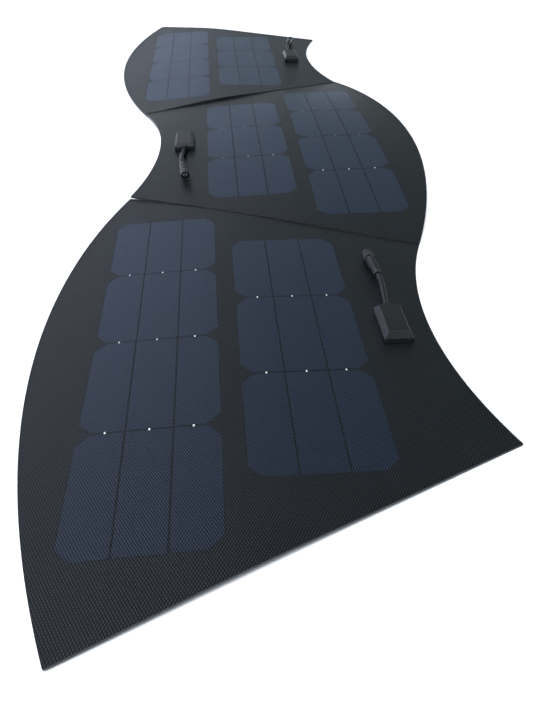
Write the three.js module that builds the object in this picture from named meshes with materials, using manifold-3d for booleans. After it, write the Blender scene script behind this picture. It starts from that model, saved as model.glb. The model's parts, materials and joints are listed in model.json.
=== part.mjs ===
// Flexible solar sheet: three identical fan-shaped laminates laid edge to edge in an S curve and joined by
// textile tape under each seam. Millimetres, +Z up. The origin is the middle of the middle section, on its
// underside; +Y runs along the chain of sections and +X points to the middle section's outer, convex edge.
//
// Each section is a ring sector with its own frame: the origin is midway between the two arcs, the outer
// arc is on the -x side and the inner arc, with the junction box, on the +x side. A section bends along the
// flex line between its two columns of cells, so it is made of an outer wing and an inner wing. The inner
// wing carries the junction box and is hinged to its neighbour.

import * as THREE from 'three';
import { mergeVertices } from 'three/addons/utils/BufferGeometryUtils.js';
import Module from 'manifold-3d';

const wasm = await Module();
wasm.setup();

// ---- Driving dimensions -------------------------------------------------------------------------------

const OUTER_RADIUS = 837;
const INNER_RADIUS = 432;
const HALF_ANGLE = THREE.MathUtils.degToRad(23.13);
const SEAM_GAP = 2.4;

const CELL = 125;
const CELL_PITCH = 127;
const WAFER_RADIUS = 80;
const STRIPS_PER_CELL = 3;
const STRIP_GAP = 1.5;
const COLUMN_PITCH = 145.6;
const FLEX_X = -8.2;
const FLEX_GAP = 3.2;

const TAB_PITCH = 38.6;
const TAB_WIDTH = 3;
const TAB_OVERLAP = 1.5;

const BOARD = 1.5;
const POCKET_FLOOR = 0.8;
const POCKET_CLEARANCE = 0.3;
const STRING_BOTTOM = 1.0;
const STRING_TOP = 1.3;
const FILM_BOTTOM = 1.7;
const FILM_TOP = 2.1;
const PIECE_GAP = 0.3;

const TAPE_WIDTH = 20;
const TAPE_THICKNESS = 0.4;
const TAPE_HALF_GAP = 0.7;
const TAPE_END_MARGIN = 6;

const BOX_X = 163;
const BOX_WIDTH = 31;
const BOX_LENGTH = 55;
const BOX_WALL_HEIGHT = 5.5;
const LID_HEIGHT = 6.7;
const LID_BEVEL = 4.5;
const LID_SETBACK = 0.3;
const BOX_WALL = 1.8;
const BOX_FLOOR = 1.2;
const GLAND_WIDTH = 12;
const GLAND_LENGTH = 5;
const GLAND_HEIGHT = 8.2;

const TERMINAL_WIDTH = 24;
const TERMINAL_LENGTH = 40;
const TERMINAL_THICKNESS = 1.6;
const DIODE = { x: -4, width: 8, length: 7, height: 2.4, centres: [-6.5, 7.5] };
const SOLDER_PAD = { x: 6.5, width: 5, length: 5, height: 1, centres: [-5.5, 6.5] };

const CABLE_RADIUS = 3.3;
const CABLE_HEIGHT = 4.4;
const CABLE_HOLE_CLEARANCE = 0.3;
const CABLE_IN_WALL = 2.5;
const CABLE_STEPS = 6;
const CABLE_END_Y = 87.5;
const CABLE_END_Z = 8.5;
const CONNECTOR_PITCH = THREE.MathUtils.degToRad(-1.5);
const CABLE_SPLIT = 0.42;
const CABLE_SPLIT_GAP = 0.03;

// Radii of the connector and the stations between them, measured from the end of the cable.
const COLLAR = { radius: 5.2, start: 0.4, end: 4.5 };
const COLLAR_RIB = { radius: 5, start: 7.8, end: 9.4 };
const WAIST_RADIUS = 4.5;
const WAIST_END = 12;
const GRIP = { radius: 5.8, start: 17, end: 34.6 };
const NECK_RADIUS = 4;
const SOCKET = { radius: 5.1, bore: 4.1, start: 40.2, floor: 41.4, end: 44 };
const SLOPE_LENGTH = 0.6;

const NUT_START = 37.8;
const NUT_LENGTH = 12;
const NUT_RADIUS = 6.8;
const NUT_BORE = 5.6;
const NUT_HOLE = 4.4;
const NUT_SHOULDER = 2;
const NUT_CHAMFER = 0.5;
const NUT_FLUTES = 12;
const FLUTE = { radius: 0.9, standOff: 0.45, sides: 8, shortfall: 3, overrun: 0.5 };

const INSERT = { radius: 3.8, start: 41.7, end: 44.6 };
const CONTACT_HOLE = { radius: 0.8, offset: 1.6, start: 42.6 };

const ROUND_SEGMENTS = 18;
const ARC_SEGMENTS = 20;
const TALL = 60;

const MIDDLE_RADIUS = (OUTER_RADIUS + INNER_RADIUS) / 2;
const SECTION_STEP_X = (OUTER_RADIUS + INNER_RADIUS) * (1 - Math.cos(HALF_ANGLE));
const SECTION_STEP_Y = (OUTER_RADIUS + INNER_RADIUS) * Math.sin(HALF_ANGLE);
const STRIP = (CELL - (STRIPS_PER_CELL - 1) * STRIP_GAP) / STRIPS_PER_CELL;

// Each section's place and rest shape. The slopes fall from the flex line to the outer and inner edges,
// and arch is the curvature along y, in 1/mm. leadDrift and leadHeading place the end of its cable. The
// middle section is lifted so that its sloping underside passes through the origin.
const SECTIONS = [
  { name: 'front', x: -SECTION_STEP_X, y: -SECTION_STEP_Y, z: -9, turn: 0,
    outerSlope: 0.036, innerSlope: 0.03, arch: 0, leadDrift: 2.5, leadHeading: 3.6 },
  { name: 'middle', x: 0, y: 0, z: -0.03 * FLEX_X, turn: Math.PI,
    outerSlope: 0.002, innerSlope: 0.03, arch: 0.0003, leadDrift: 2.4, leadHeading: 7.2 },
  { name: 'rear', x: -SECTION_STEP_X, y: SECTION_STEP_Y, z: -5.5, turn: 0,
    outerSlope: 0.052, innerSlope: 0.043, arch: 0, leadDrift: 3, leadHeading: -14 },
];

const WINGS = [
  { name: 'outer', side: -1, cells: 4, columnX: FLEX_X - COLUMN_PITCH / 2 },
  { name: 'inner', side: 1, cells: 3, columnX: FLEX_X + COLUMN_PITCH / 2 },
];

// ---- Materials ----------------------------------------------------------------------------------------

const standard = (color, roughness, metalness) =>
  new THREE.MeshStandardMaterial({ color, roughness, metalness });

const FILM = standard(0x2b2f33, 0.4, 0);
const BACKING = standard(0x15171a, 0.6, 0);
const SILICON = standard(0x252b45, 0.25, 0.3);
const TAPE = standard(0x191a1c, 0.9, 0);
const BOX_PLASTIC = standard(0x1c1e20, 0.45, 0);
const CIRCUIT = standard(0x1f4a2c, 0.6, 0);
const CABLE_SHEATH = standard(0x17181a, 0.4, 0);
const CONNECTOR_PLASTIC = standard(0x18191b, 0.3, 0);
const INSERT_PLASTIC = standard(0x0e0e0f, 0.5, 0);

// ---- Solids -------------------------------------------------------------------------------------------

function toSolid(geometry) {
  const bare = geometry.clone();
  bare.deleteAttribute('normal');
  bare.deleteAttribute('uv');
  const merged = mergeVertices(bare, 1e-4);
  return new wasm.Manifold(new wasm.Mesh({
    numProp: 3,
    vertProperties: new Float32Array(merged.attributes.position.array),
    triVerts: new Uint32Array(merged.index.array),
  }));
}

function toGeometry(solid) {
  const { vertProperties, triVerts } = solid.getMesh();
  const geometry = new THREE.BufferGeometry();
  geometry.setAttribute('position', new THREE.BufferAttribute(vertProperties, 3));
  geometry.setIndex(new THREE.BufferAttribute(triVerts, 1));
  geometry.computeVertexNormals();
  return geometry;
}

function makeMesh(name, solid, material) {
  const mesh = new THREE.Mesh(toGeometry(solid), material);
  mesh.name = name;
  return mesh;
}

function box(x0, x1, y0, y1, z0, z1) {
  const geometry = new THREE.BoxGeometry(x1 - x0, y1 - y0, z1 - z0);
  geometry.translate((x0 + x1) / 2, (y0 + y1) / 2, (z0 + z1) / 2);
  return toSolid(geometry);
}

function prism(shape, z0, z1, curveSegments = ARC_SEGMENTS) {
  const geometry = new THREE.ExtrudeGeometry(shape, { depth: z1 - z0, bevelEnabled: false, curveSegments });
  geometry.translate(0, 0, z0);
  return toSolid(geometry);
}

function polygon(points) {
  return new THREE.Shape(points.map(([x, y]) => new THREE.Vector2(x, y)));
}

// A solid of revolution about the local Y axis, from radius and height pairs.
function turned(points) {
  return toSolid(new THREE.LatheGeometry(points.map(([r, y]) => new THREE.Vector2(r, y)), ROUND_SEGMENTS));
}

function rodAlongY(radius, y0, y1, x = 0, z = 0) {
  const geometry = new THREE.CylinderGeometry(radius, radius, y1 - y0, ROUND_SEGMENTS);
  geometry.translate(x, (y0 + y1) / 2, z);
  return toSolid(geometry);
}

const join = (solids) => solids.reduce((sum, solid) => sum.add(solid));

// ---- Laminate -----------------------------------------------------------------------------------------

// The fan outline. Its straight ends lie along radii, set back by half the seam gap.
function sectorShape() {
  const outerAngle = HALF_ANGLE - Math.asin(SEAM_GAP / 2 / OUTER_RADIUS);
  const innerAngle = HALF_ANGLE - Math.asin(SEAM_GAP / 2 / INNER_RADIUS);
  const shape = new THREE.Shape();
  shape.absarc(MIDDLE_RADIUS, 0, OUTER_RADIUS, Math.PI - outerAngle, Math.PI + outerAngle, false);
  shape.absarc(MIDDLE_RADIUS, 0, INNER_RADIUS, Math.PI + innerAngle, Math.PI - innerAngle, true);
  return shape;
}

function wingOutline(wing) {
  const cut = FLEX_X + wing.side * FLEX_GAP / 2;
  const reach = cut + wing.side * OUTER_RADIUS;
  const half = box(Math.min(cut, reach), Math.max(cut, reach), -OUTER_RADIUS, OUTER_RADIUS, -TALL, TALL);
  return prism(sectorShape(), -TALL, TALL).intersect(half);
}

// Height of the arched underside above the flat facet in the middle of the inner wing.
function archHeight(section, y) {
  return section.arch * ((CELL_PITCH / 2) ** 2 - y ** 2) / 2;
}

// One layer of the laminate, z0 to z1 above the underside, wide enough to cover a wing. It is flat under
// each cell, folds between cells to follow the arch, and slopes away from the flex line.
function layer(section, wing, z0, z1) {
  const halfCells = wing.cells / 2 + 1;
  const breaks = Array.from({ length: 2 * halfCells + 1 }, (_, i) => (i - halfCells) * CELL_PITCH);
  const lower = breaks.map((y) => [y, archHeight(section, y) + z0]);
  const upper = breaks.map((y) => [y, archHeight(section, y) + z1]);
  const width = OUTER_RADIUS;
  const geometry = new THREE.ExtrudeGeometry(polygon([...lower, ...upper.reverse()]),
    { depth: width, bevelEnabled: false });
  const alongX = new THREE.Matrix4().makeBasis(
    new THREE.Vector3(0, 1, 0), new THREE.Vector3(0, 0, 1), new THREE.Vector3(1, 0, 0));
  geometry.applyMatrix4(alongX);
  geometry.translate(wing.side > 0 ? 0 : -width, 0, 0);
  const slope = wing.side > 0 ? section.innerSlope : -section.outerSlope;
  const fall = new THREE.Matrix4().makeShear(0, -slope, 0, 0, 0, 0);
  geometry.applyMatrix4(fall);
  geometry.translate(FLEX_X, 0, 0);
  return toSolid(geometry);
}

// One strip of a cell, around the cell's centre. The two side strips have the wafer's rounded corners.
function stripShape(index, grow) {
  const half = CELL / 2 + grow;
  const radius = WAFER_RADIUS + grow;
  const centre = (index - (STRIPS_PER_CELL - 1) / 2) * (STRIP + STRIP_GAP);
  const right = Math.min(centre + STRIP / 2 + grow, half);
  const left = Math.max(centre - STRIP / 2 - grow, -half);
  const corner = Math.acos(half / radius);
  const shape = new THREE.Shape();
  if (index === 0) {
    shape.absarc(0, 0, radius, Math.PI / 2 + corner, Math.PI - corner, false);
    shape.absarc(0, 0, radius, Math.PI + corner, 1.5 * Math.PI - corner, false);
    shape.lineTo(right, -half);
    shape.lineTo(right, half);
  } else if (index === STRIPS_PER_CELL - 1) {
    shape.absarc(0, 0, radius, 1.5 * Math.PI + corner, 2 * Math.PI - corner, false);
    shape.absarc(0, 0, radius, corner, Math.PI / 2 - corner, false);
    shape.lineTo(left, half);
    shape.lineTo(left, -half);
  } else {
    shape.moveTo(left, -half);
    shape.lineTo(right, -half);
    shape.lineTo(right, half);
    shape.lineTo(left, half);
  }
  return shape;
}

// A string is one strip of every cell in the column, joined by a soldered tab across each cell gap.
function stringOutline(wing, index, grow) {
  const strip = prism(stripShape(index, grow), -TALL, TALL, 3);
  const firstY = -(wing.cells - 1) / 2 * CELL_PITCH;
  const pieces = [];
  for (let cell = 0; cell < wing.cells; cell++) {
    pieces.push(strip.translate([wing.columnX, firstY + cell * CELL_PITCH, 0]));
  }
  const tabX = wing.columnX + (index - (STRIPS_PER_CELL - 1) / 2) * TAB_PITCH;
  const tabHalfWidth = TAB_WIDTH / 2 + grow;
  const tabHalfLength = (CELL_PITCH - CELL) / 2 + TAB_OVERLAP;
  for (let cell = 1; cell < wing.cells; cell++) {
    const y = firstY + (cell - 0.5) * CELL_PITCH;
    const tab = box(-tabHalfWidth, tabHalfWidth, -tabHalfLength, tabHalfLength, -TALL, TALL);
    pieces.push(tab.translate([tabX, y, 0]));
  }
  return join(pieces);
}

const outlines = new Map(WINGS.map((wing) => [wing, {
  wing: wingOutline(wing),
  strings: Array.from({ length: STRIPS_PER_CELL }, (_, i) => stringOutline(wing, i, 0)),
  pockets: Array.from({ length: STRIPS_PER_CELL }, (_, i) => stringOutline(wing, i, POCKET_CLEARANCE)),
}]));

function laminate(section) {
  const group = new THREE.Group();
  for (const wing of WINGS) {
    const outline = outlines.get(wing);
    const prefix = `${section.name}_${wing.name}`;
    const pockets = join(outline.pockets).intersect(layer(section, wing, POCKET_FLOOR, BOARD + 1));
    const board = outline.wing.intersect(layer(section, wing, 0, BOARD)).subtract(pockets);
    const film = outline.wing.intersect(layer(section, wing, FILM_BOTTOM, FILM_TOP));
    const stringLayer = layer(section, wing, STRING_BOTTOM, STRING_TOP);
    group.add(makeMesh(`${prefix}_back_board`, board, BACKING));
    group.add(makeMesh(`${prefix}_front_film`, film, FILM));
    outline.strings.forEach((string, i) => {
      group.add(makeMesh(`${prefix}_cell_string_${i + 1}`, string.intersect(stringLayer), SILICON));
    });
  }
  return group;
}

// Half of the tape under one seam: a strip along the inner wing's straight end, over the stretch where both
// neighbours' inner wings meet. end is +1 for the section's own +y end and -1 for its -y end.
function seamTape(section, end) {
  const start = FLEX_X + FLEX_GAP / 2 + TAPE_END_MARGIN;
  const stop = SECTION_STEP_X - start;
  const near = TAPE_HALF_GAP;
  const far = TAPE_HALF_GAP + TAPE_WIDTH;
  // A point at x, and this far in from the seam line.
  const inset = (x, distance) => {
    const seamY = (MIDDLE_RADIUS - x) * Math.tan(HALF_ANGLE);
    return [x, end * (seamY - distance / Math.cos(HALF_ANGLE))];
  };
  const corners = [inset(start, near), inset(start, far), inset(stop, far), inset(stop, near)];
  const outline = prism(polygon(corners), -TALL, TALL);
  const inner = WINGS[1];
  return outline.intersect(layer(section, inner, -PIECE_GAP - TAPE_THICKNESS, -PIECE_GAP));
}

// ---- Junction box, in its own frame: centred on its underside, cable leaving towards +y -----------------

// A frustum-like block with a rectangular base and a smaller rectangular top.
function bevelledBlock(width, length, bevel, z0, z1) {
  const geometry = new THREE.BoxGeometry(width, length, z1 - z0);
  const position = geometry.attributes.position;
  for (let i = 0; i < position.count; i++) {
    if (position.getZ(i) > 0) {
      position.setX(i, position.getX(i) * (1 - 2 * bevel / width));
      position.setY(i, position.getY(i) * (1 - 2 * bevel / length));
    }
  }
  geometry.translate(0, 0, (z0 + z1) / 2);
  return toSolid(geometry);
}

function centredBox(width, length, z0, z1) {
  return box(-width / 2, width / 2, -length / 2, length / 2, z0, z1);
}

const cableHole = rodAlongY(CABLE_RADIUS + CABLE_HOLE_CLEARANCE, BOX_LENGTH / 2 - 2 * BOX_WALL, BOX_LENGTH,
  0, CABLE_HEIGHT);
const CAVITY_WIDTH = BOX_WIDTH - 2 * BOX_WALL;
const CAVITY_LENGTH = BOX_LENGTH - 2 * BOX_WALL;

function boxBase() {
  const gland = box(-GLAND_WIDTH / 2, GLAND_WIDTH / 2, CAVITY_LENGTH / 2, BOX_LENGTH / 2 + GLAND_LENGTH,
    0, GLAND_HEIGHT);
  const lidRoom = centredBox(BOX_WIDTH, BOX_LENGTH + 2 * LID_SETBACK, BOX_WALL_HEIGHT, TALL);
  const cavity = centredBox(CAVITY_WIDTH, CAVITY_LENGTH, BOX_FLOOR, TALL);
  const tub = centredBox(BOX_WIDTH, BOX_LENGTH, 0, BOX_WALL_HEIGHT).add(gland.subtract(lidRoom));
  return tub.subtract(cavity).subtract(cableHole);
}

function boxLid() {
  const z0 = BOX_WALL_HEIGHT + PIECE_GAP;
  const z1 = BOX_WALL_HEIGHT + LID_HEIGHT;
  const shell = bevelledBlock(BOX_WIDTH, BOX_LENGTH, LID_BEVEL, z0, z1);
  const hollow = bevelledBlock(CAVITY_WIDTH, CAVITY_LENGTH, LID_BEVEL, z0 - PIECE_GAP, z1 - BOX_WALL);
  return shell.subtract(hollow).subtract(cableHole);
}

// Circuit board with two bypass diodes and two solder pads.
function terminalBoard() {
  const z0 = BOX_FLOOR + PIECE_GAP;
  const top = z0 + TERMINAL_THICKNESS;
  const board = centredBox(TERMINAL_WIDTH, TERMINAL_LENGTH, z0, top);
  const parts = [DIODE, SOLDER_PAD].flatMap(({ x, width, length, height, centres }) => centres.map((y) =>
    box(x - width / 2, x + width / 2, y - length / 2, y + length / 2, (z0 + top) / 2, top + height)));
  return join([board, ...parts]);
}

// ---- Lead ---------------------------------------------------------------------------------------------

// The stretch of a curve between two of its parameters.
class CurvePart extends THREE.Curve {
  constructor(curve, from, to) {
    super();
    Object.assign(this, { curve, from, to });
  }

  getPoint(t, target) {
    return this.curve.getPoint(THREE.MathUtils.lerp(this.from, this.to, t), target);
  }
}

function connectorDirection(section) {
  const heading = THREE.MathUtils.degToRad(section.leadHeading);
  return new THREE.Vector3(0, 1, 0).applyEuler(new THREE.Euler(CONNECTOR_PITCH, 0, heading, 'ZXY'));
}

function cableCurve(section) {
  const start = new THREE.Vector3(0, BOX_LENGTH / 2 - CABLE_IN_WALL, CABLE_HEIGHT);
  const end = new THREE.Vector3(section.leadDrift, CABLE_END_Y, CABLE_END_Z);
  const handle = start.distanceTo(end) / 3;
  return new THREE.CubicBezierCurve3(
    start,
    start.clone().add(new THREE.Vector3(0, handle, 0)),
    end.clone().addScaledVector(connectorDirection(section), -handle),
    end,
  );
}

function cablePart(section, from, to) {
  const circle = new THREE.Shape().absarc(0, 0, CABLE_RADIUS, 0, 2 * Math.PI, false);
  const geometry = new THREE.ExtrudeGeometry(circle, {
    steps: CABLE_STEPS,
    bevelEnabled: false,
    curveSegments: ROUND_SEGMENTS / 2,
    extrudePath: new CurvePart(cableCurve(section), from, to),
  });
  return toSolid(geometry);
}

// Connector pieces lie along their own +Y axis, starting at the end of the cable.
function connectorBody() {
  return turned([
    [0, COLLAR.start],
    [COLLAR.radius - NUT_CHAMFER, COLLAR.start],
    [COLLAR.radius, COLLAR.start + NUT_CHAMFER],
    [COLLAR.radius, COLLAR.end],
    [WAIST_RADIUS, COLLAR.end + SLOPE_LENGTH],
    [WAIST_RADIUS, COLLAR_RIB.start - SLOPE_LENGTH],
    [COLLAR_RIB.radius, COLLAR_RIB.start],
    [COLLAR_RIB.radius, COLLAR_RIB.end],
    [WAIST_RADIUS, COLLAR_RIB.end + SLOPE_LENGTH],
    [WAIST_RADIUS, WAIST_END],
    [GRIP.radius, GRIP.start],
    [GRIP.radius, GRIP.end],
    [NECK_RADIUS, GRIP.end + 2 * SLOPE_LENGTH],
    [NECK_RADIUS, SOCKET.start],
    [SOCKET.radius, SOCKET.start],
    [SOCKET.radius, SOCKET.end],
    [SOCKET.bore, SOCKET.end],
    [SOCKET.bore, SOCKET.floor],
    [0, SOCKET.floor],
  ]);
}

function couplingNut() {
  const end = NUT_START + NUT_LENGTH;
  const ring = turned([
    [NUT_HOLE, NUT_START],
    [NUT_RADIUS - NUT_CHAMFER, NUT_START],
    [NUT_RADIUS, NUT_START + NUT_CHAMFER],
    [NUT_RADIUS, end - NUT_CHAMFER],
    [NUT_RADIUS - NUT_CHAMFER, end],
    [NUT_BORE, end],
    [NUT_BORE, NUT_START + NUT_SHOULDER],
    [NUT_HOLE, NUT_START + NUT_SHOULDER],
    [NUT_HOLE, NUT_START],
  ]);
  const length = NUT_LENGTH - FLUTE.shortfall;
  const reach = NUT_RADIUS + FLUTE.standOff;
  const flutes = [];
  for (let i = 0; i < NUT_FLUTES; i++) {
    const angle = (i + 0.5) * 2 * Math.PI / NUT_FLUTES;
    const geometry = new THREE.CylinderGeometry(FLUTE.radius, FLUTE.radius, length, FLUTE.sides);
    const middle = NUT_START + length / 2 - FLUTE.overrun;
    geometry.translate(reach * Math.cos(angle), middle, reach * Math.sin(angle));
    flutes.push(toSolid(geometry));
  }
  return ring.subtract(join(flutes));
}

// The insert sits in the body's mouth and has two contact holes.
function contactInsert() {
  const disc = rodAlongY(INSERT.radius, INSERT.start, INSERT.end);
  const { radius, offset, start } = CONTACT_HOLE;
  const holes = [-offset, offset].map((x) => rodAlongY(radius, start, INSERT.end + 1, x));
  return disc.subtract(join(holes));
}

function lead(section) {
  const group = new THREE.Group();
  const { name } = section;
  const root = cablePart(section, 0, CABLE_SPLIT - CABLE_SPLIT_GAP / 2);
  const tip = cablePart(section, CABLE_SPLIT + CABLE_SPLIT_GAP / 2, 1);
  group.add(makeMesh(`${name}_cable_root`, root, CABLE_SHEATH));
  group.add(makeMesh(`${name}_cable_tip`, tip, CABLE_SHEATH));
  const connector = new THREE.Group();
  connector.position.copy(cableCurve(section).getPoint(1));
  connector.rotation.set(CONNECTOR_PITCH, 0, THREE.MathUtils.degToRad(section.leadHeading), 'ZXY');
  connector.add(makeMesh(`${name}_connector_body`, connectorBody(), CONNECTOR_PLASTIC));
  connector.add(makeMesh(`${name}_coupling_nut`, couplingNut(), CONNECTOR_PLASTIC));
  connector.add(makeMesh(`${name}_contact_insert`, contactInsert(), INSERT_PLASTIC));
  group.add(connector);
  return group;
}

// ---- Assembly -----------------------------------------------------------------------------------------

function junctionBox(section) {
  const group = new THREE.Group();
  const { name } = section;
  group.add(makeMesh(`${name}_box_base`, boxBase(), BOX_PLASTIC));
  group.add(makeMesh(`${name}_box_lid`, boxLid(), BOX_PLASTIC));
  group.add(makeMesh(`${name}_terminal_board`, terminalBoard(), CIRCUIT));
  group.add(lead(section));
  const surface = -section.innerSlope * (BOX_X - FLEX_X);
  group.position.set(BOX_X, 0, surface + FILM_TOP + PIECE_GAP);
  group.rotation.y = Math.atan(section.innerSlope);
  return group;
}

// The seam tapes: which section holds each half, and at which of its own ends.
const TAPES = [
  { node: 'front_seam_tape_front_half', section: 'front', end: 1 },
  { node: 'front_seam_tape_middle_half', section: 'middle', end: 1 },
  { node: 'rear_seam_tape_middle_half', section: 'middle', end: -1 },
  { node: 'rear_seam_tape_rear_half', section: 'rear', end: -1 },
];

const sheet = new THREE.Group();
for (const section of SECTIONS) {
  const group = new THREE.Group();
  group.add(laminate(section));
  group.add(junctionBox(section));
  for (const tape of TAPES.filter((entry) => entry.section === section.name)) {
    group.add(makeMesh(tape.node, seamTape(section, tape.end), TAPE));
  }
  group.position.set(section.x, section.y, section.z);
  group.rotation.z = section.turn;
  sheet.add(group);
}

export default sheet;
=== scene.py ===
# Flexible solar sheet: the visible model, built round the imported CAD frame. Lengths in this script are in
# millimetres until they become vertices. Each of the three sections is drawn in its own flat plan, with its
# outer arc at -x, its inner arc at +x and its middle at the origin, and then laid over a gently bent surface.

import copy
import json
import math

import bmesh
import bpy
import numpy as np
from mathutils import Matrix, Vector
from mathutils.geometry import delaunay_2d_cdt

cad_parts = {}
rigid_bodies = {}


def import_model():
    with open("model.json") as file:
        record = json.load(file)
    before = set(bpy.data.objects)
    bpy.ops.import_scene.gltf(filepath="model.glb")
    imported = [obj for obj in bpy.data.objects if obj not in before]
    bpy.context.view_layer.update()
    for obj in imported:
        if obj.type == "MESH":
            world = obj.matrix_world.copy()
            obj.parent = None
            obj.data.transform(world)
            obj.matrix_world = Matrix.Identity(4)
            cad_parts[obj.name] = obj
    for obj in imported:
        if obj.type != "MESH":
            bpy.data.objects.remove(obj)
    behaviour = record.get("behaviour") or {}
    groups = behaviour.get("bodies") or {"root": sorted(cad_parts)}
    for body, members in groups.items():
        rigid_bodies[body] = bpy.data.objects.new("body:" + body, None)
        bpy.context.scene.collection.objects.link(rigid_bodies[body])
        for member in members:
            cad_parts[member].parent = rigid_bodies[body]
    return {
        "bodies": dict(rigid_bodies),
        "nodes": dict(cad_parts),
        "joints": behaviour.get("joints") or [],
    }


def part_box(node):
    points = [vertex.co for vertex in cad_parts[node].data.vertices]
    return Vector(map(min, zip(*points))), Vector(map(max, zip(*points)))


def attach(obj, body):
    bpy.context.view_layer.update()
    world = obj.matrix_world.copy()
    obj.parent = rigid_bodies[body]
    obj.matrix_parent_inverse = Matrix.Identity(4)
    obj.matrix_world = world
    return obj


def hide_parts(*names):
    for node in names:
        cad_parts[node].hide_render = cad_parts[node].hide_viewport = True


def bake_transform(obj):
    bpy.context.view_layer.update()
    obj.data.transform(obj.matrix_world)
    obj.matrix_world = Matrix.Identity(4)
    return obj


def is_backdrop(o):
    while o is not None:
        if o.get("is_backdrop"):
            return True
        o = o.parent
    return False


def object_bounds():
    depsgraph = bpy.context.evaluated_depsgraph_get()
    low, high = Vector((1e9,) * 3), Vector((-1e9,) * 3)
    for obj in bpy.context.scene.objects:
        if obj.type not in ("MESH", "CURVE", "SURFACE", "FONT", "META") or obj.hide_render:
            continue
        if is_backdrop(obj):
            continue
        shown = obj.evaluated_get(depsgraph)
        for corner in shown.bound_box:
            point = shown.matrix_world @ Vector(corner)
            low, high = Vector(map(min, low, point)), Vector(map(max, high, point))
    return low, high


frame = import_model()
CAD_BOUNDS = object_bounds()
MM = 0.001

# ---- Driving dimensions -------------------------------------------------------------------------------

SHARP_ANGLE = 35.0

OUTER_RADIUS = 837.0
INNER_RADIUS = 432.0
MIDDLE_RADIUS = (OUTER_RADIUS + INNER_RADIUS) / 2
HALF_ANGLE = math.radians(23.13)
SEAM_SETBACK = 0.5
CORNER_RADIUS = 1.0

CELL = 125.0
CELL_PITCH = 127.0
WAFER_RADIUS = 80.0
STRIP_GAP = 1.5
STRIP = (CELL - 2 * STRIP_GAP) / 3
STRIP_PITCH = STRIP + STRIP_GAP
COLUMN_PITCH = 145.6
FLEX_X = -8.2
TAB_PITCH = 38.6

# Heights above the underside.
BOARD_TOP = 1.3
POCKET_FLOOR = 0.95
STRING_BOTTOM = 1.0
STRING_TOP = 1.25
FILM_BOTTOM = 1.36
FILM_TOP = 2.1
CAD_FILM_BOTTOM = 1.7
CELL_RELIEF = 0.07

TAB_RADIUS = 1.25
EMBOSS_PERIOD = 2.1
EMBOSS_DEPTH = 0.10

# The lying sheet: how its surface bends and ripples.
WING_BLEND = 45.0
ARCHED_BLEND = 30.0
ARCHED_SLOPE = 0.03
RIPPLE_HEIGHT = 0.25
RIPPLE_LENGTH_X = 47.0
RIPPLE_LENGTH_Y = 61.0
RIPPLE_FADE = 60.0

TAPE_WIDTH = 20.7
TAPE_THICKNESS = 0.4
TAPE_GAP = 0.25
TAPE_RISE_START = 0.7
TAPE_RISE = 0.7

BOX_WIDTH = 31.0
BOX_LENGTH = 55.0
BOX_WALL = 1.8
BOX_FLOOR = 1.2
BOX_WALL_HEIGHT = 5.5
BOX_HEIGHT = 12.2
LID_BEVEL = 4.5
PARTING_GAP = 0.3
EDGE_ROUNDING = 0.4
GLAND_LENGTH = 5.0
GLAND_WIDTH = 12.0
GLAND_HEIGHT = 8.2
CABLE_RADIUS = 3.3
CABLE_HEIGHT = 4.4
CABLE_INSET = 2.5

# The plug, measured along its axis from the cable's end.
COLLAR_RADIUS = 5.3
WAIST_RADIUS = 4.4
RIB_RADIUS = 5.0
GRIP_RADIUS = 5.8
NECK_RADIUS = 4.0
SOCKET_RADIUS = 5.1
SOCKET_BORE = 4.1
NUT_START = 37.8
NUT_RADIUS = 6.8
NUT_BORE = 5.6
NUT_HOLE = 4.4
NUT_RIBS = 14
NUT_RIB_DEPTH = 0.6
INSERT_RADIUS = 3.8
PIN_RADIUS = 0.8
PIN_OFFSET = 2.0

FLOOR_SIZE = 60.0
FLOOR_GAP = 0.2

# The camera: its place from the middle of the front section at its film's top, its yaw, pitch and roll in
# radians, and its focal length.
CAMERA_STAND = (-5.4, -520.5, 398.7)
CAMERA_TURNS = (0.0724, 0.6952, -0.0130)
CAMERA_LENS = 32.16

WINGS = {
    "outer": {"cells": 4, "column_x": FLEX_X - COLUMN_PITCH / 2},
    "inner": {"cells": 3, "column_x": FLEX_X + COLUMN_PITCH / 2},
}

JOINTS = {joint["name"]: joint for joint in frame["joints"]}


# ---- Sections: where each one lies and how it curves --------------------------------------------------

def soft_ramp(u, blend):
    """Zero for negative u and u itself for positive u, with a smooth turn from -blend to blend."""
    return np.where(u > blend, u, np.where(u < -blend, 0.0, (u + blend) ** 2 / (4 * blend)))


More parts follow.
